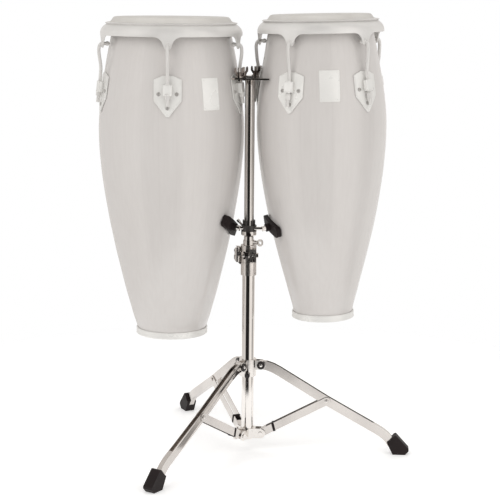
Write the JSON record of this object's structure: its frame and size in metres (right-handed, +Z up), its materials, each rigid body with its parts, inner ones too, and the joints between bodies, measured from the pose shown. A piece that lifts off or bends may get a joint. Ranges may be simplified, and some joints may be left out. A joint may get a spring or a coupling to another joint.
{
  "type": "pair of conga drums on a folding stand",
  "caption": "Pair of conga drums with five-lug crowns, hung on a chrome double stand with a folding tripod, height clamp, rubber pads and wing nuts",
  "frame": {"origin": "on the floor, in the middle of the overall footprint; the mast stands 12 mm to the left and 12.5 mm in front of it", "axes": "+X to the right seen from the front, +Y to the back, +Z up along the mast"},
  "size_m": [0.7229, 0.6614, 1.0096],
  "materials": {
    "chrome_tube": "polished chrome plate",
    "chrome_part": "polished chrome plate",
    "chrome_leg": "polished chrome plate",
    "black_screw": "gloss black",
    "black_plastic": "matte",
    "black_rubber": "matte moulded rubber",
    "drum_shell": "satin lacquer, pale warm grey",
    "drum_head": "matt rawhide",
    "drum_metal": "satin plated steel"
  },
  "bodies": {
    "base": {"lower_tube": "chrome_tube", "bottom_hub": "chrome_part", "hub_pins": "chrome_part", "clamp_body": "chrome_part", "clamp_pin": "chrome_part", "clamp_bolt": "chrome_part"},
    "collar": {"tripod_collar": "chrome_part", "collar_pins": "black_screw"},
    "collar_screw": {"collar_screw": "black_screw"},
    "leg_a": {"leg_1": "chrome_leg", "foot_1": "black_rubber"},
    "leg_b": {"leg_2": "chrome_leg", "foot_2": "black_rubber"},
    "leg_c": {"leg_3": "chrome_leg", "foot_3": "black_rubber"},
    "brace_a": {"brace_1": "chrome_leg"},
    "brace_b": {"brace_2": "chrome_leg"},
    "brace_c": {"brace_3": "chrome_leg"},
    "clamp_nut": {"clamp_washer": "chrome_part"},
    "clamp_wing": {"clamp_wing": "black_screw"},
    "clamp_jaw": {"clamp_jaw": "chrome_part"},
    "bushing": {"tube_bushing": "black_plastic"},
    "mast": {"upper_tube": "chrome_tube", "memory_ring": "chrome_part", "cradle_ring": "chrome_part", "cradle_screw": "black_screw", "cradle_yoke": "black_screw", "yoke_bolt": "chrome_part", "pad_rods": "chrome_part", "top_plate": "chrome_part", "plate_plug": "black_screw", "plate_bolts": "chrome_part", "grip_left": "chrome_part", "grip_right": "chrome_part"},
    "memory_screw": {"memory_screw": "black_screw"},
    "pad_left": {"pad_left": "black_rubber"},
    "pad_right": {"pad_right": "black_rubber"},
    "wing_1": {"wing_1": "black_screw"},
    "wing_2": {"wing_2": "black_screw"},
    "wing_3": {"wing_3": "black_screw"},
    "wing_4": {"wing_4": "black_screw"},
    "drum_left": {"shell_left": "drum_shell", "head_left": "drum_head", "crown_left": "drum_metal", "base_ring_left": "drum_metal", "side_plates_left": "drum_metal", "plate_screws_left": "drum_metal", "hooks_left": "drum_metal", "nuts_left": "drum_metal", "badge_left": "drum_metal"},
    "drum_right": {"shell_right": "drum_shell", "head_right": "drum_head", "crown_right": "drum_metal", "base_ring_right": "drum_metal", "side_plates_right": "drum_metal", "plate_screws_right": "drum_metal", "hooks_right": "drum_metal", "nuts_right": "drum_metal", "badge_right": "drum_metal"}
  },
  "joints": [
    {"name": "tripod_fold", "type": "slide", "parent": "base", "child": "collar", "axis": [0, 0, 1], "range_m": [0, 0.1757]},
    {"name": "leg_a_hinge", "type": "hinge", "parent": "collar", "child": "leg_a", "pos_m": [0.01892, -0.01477, 0.2044], "axis": [0.0732, 0.9973, 0], "range_deg": [0, 49.84]},
    {"name": "brace_a_hinge", "type": "hinge", "parent": "base", "child": "brace_a", "pos_m": [0.01892, -0.01477, 0.0406], "axis": [0.0732, 0.9973, 0], "range_deg": [-49.84, 0]},
    {"name": "leg_b_hinge", "type": "hinge", "parent": "collar", "child": "leg_b", "pos_m": [-0.02942, -0.03814, 0.2044], "axis": [0.8271, -0.5621, 0], "range_deg": [0, 49.84]},
    {"name": "brace_b_hinge", "type": "hinge", "parent": "base", "child": "brace_b", "pos_m": [-0.02942, -0.03814, 0.0406], "axis": [0.8271, -0.5621, 0], "range_deg": [-49.84, 0]},
    {"name": "leg_c_hinge", "type": "hinge", "parent": "collar", "child": "leg_c", "pos_m": [-0.02549, 0.01541, 0.2044], "axis": [-0.9003, -0.4352, 0], "range_deg": [0, 49.84]},
    {"name": "brace_c_hinge", "type": "hinge", "parent": "base", "child": "brace_c", "pos_m": [-0.02549, 0.01541, 0.0406], "axis": [-0.9003, -0.4352, 0], "range_deg": [-49.84, 0]},
    {"name": "collar_screw_turn", "type": "hinge", "parent": "collar", "child": "collar_screw", "pos_m": [-0.01305, -0.04248, 0.186], "axis": [-0.0349, -0.9994, 0], "continuous": true},
    {"name": "clamp_release", "type": "slide", "parent": "base", "child": "clamp_nut", "axis": [-1, 0, 0], "range_m": [0, 0.004]},
    {"name": "clamp_wing_turn", "type": "hinge", "parent": "clamp_nut", "child": "clamp_wing", "pos_m": [-0.017, -0.0375, 0.465], "axis": [-1, 0, 0], "continuous": true},
    {"name": "clamp_jaw_hinge", "type": "hinge", "parent": "base", "child": "clamp_jaw", "pos_m": [-0.0375, -0.0125, 0.465], "axis": [0, 0, 1], "range_deg": [-4, 0]},
    {"name": "mast_swivel", "type": "hinge", "parent": "base", "child": "bushing", "pos_m": [-0.012, -0.0125, 0.42], "axis": [0, 0, 1], "continuous": true},
    {"name": "mast_height", "type": "slide", "parent": "bushing", "child": "mast", "axis": [0, 0, 1], "range_m": [0, 0.12]},
    {"name": "memory_screw_turn", "type": "hinge", "parent": "mast", "child": "memory_screw", "pos_m": [0.01066, -0.02306, 0.492], "axis": [0.9063, -0.4226, 0], "continuous": true},
    {"name": "pad_left_swivel", "type": "hinge", "parent": "mast", "child": "pad_left", "pos_m": [-0.05696, -0.01209, 0.52987], "axis": [-0.92, 0.3416, 0.1922], "range_deg": [-48, 0]},
    {"name": "pad_right_swivel", "type": "hinge", "parent": "mast", "child": "pad_right", "pos_m": [0.04289, -0.01418, 0.52984], "axis": [0.9254, 0.2985, 0.2334], "range_deg": [-30, 0]},
    {"name": "wing_1_turn", "type": "hinge", "parent": "mast", "child": "wing_1", "pos_m": [-0.03674, -0.03034, 0.872], "axis": [0, 0, 1], "continuous": true},
    {"name": "wing_2_turn", "type": "hinge", "parent": "mast", "child": "wing_2", "pos_m": [-0.02623, 0.002, 0.872], "axis": [0, 0, 1], "continuous": true},
    {"name": "wing_3_turn", "type": "hinge", "parent": "mast", "child": "wing_3", "pos_m": [0.00007, 0.03861, 0.872], "axis": [0, 0, 1], "continuous": true},
    {"name": "wing_4_turn", "type": "hinge", "parent": "mast", "child": "wing_4", "pos_m": [0.01157, 0.07311, 0.872], "axis": [0, 0, 1], "continuous": true},
    {"name": "drum_left_release", "type": "slide", "parent": "mast", "child": "drum_left", "axis": [-0.9511, 0.309, 0], "range_m": [0, 0.3]},
    {"name": "drum_right_release", "type": "slide", "parent": "mast", "child": "drum_right", "axis": [0.9991, 0.0419, 0], "range_m": [0, 0.3]}
  ],
  "couplings": [
    {"joint": "leg_a_hinge", "follows": "tripod_fold", "rad_per_m": 4.9509},
    {"joint": "brace_a_hinge", "follows": "tripod_fold", "rad_per_m": -4.9509},
    {"joint": "leg_b_hinge", "follows": "tripod_fold", "rad_per_m": 4.9509},
    {"joint": "brace_b_hinge", "follows": "tripod_fold", "rad_per_m": -4.9509},
    {"joint": "leg_c_hinge", "follows": "tripod_fold", "rad_per_m": 4.9509},
    {"joint": "brace_c_hinge", "follows": "tripod_fold", "rad_per_m": -4.9509},
    {"joint": "clamp_jaw_hinge", "follows": "clamp_release", "rad_per_m": -17.453}
  ]
}
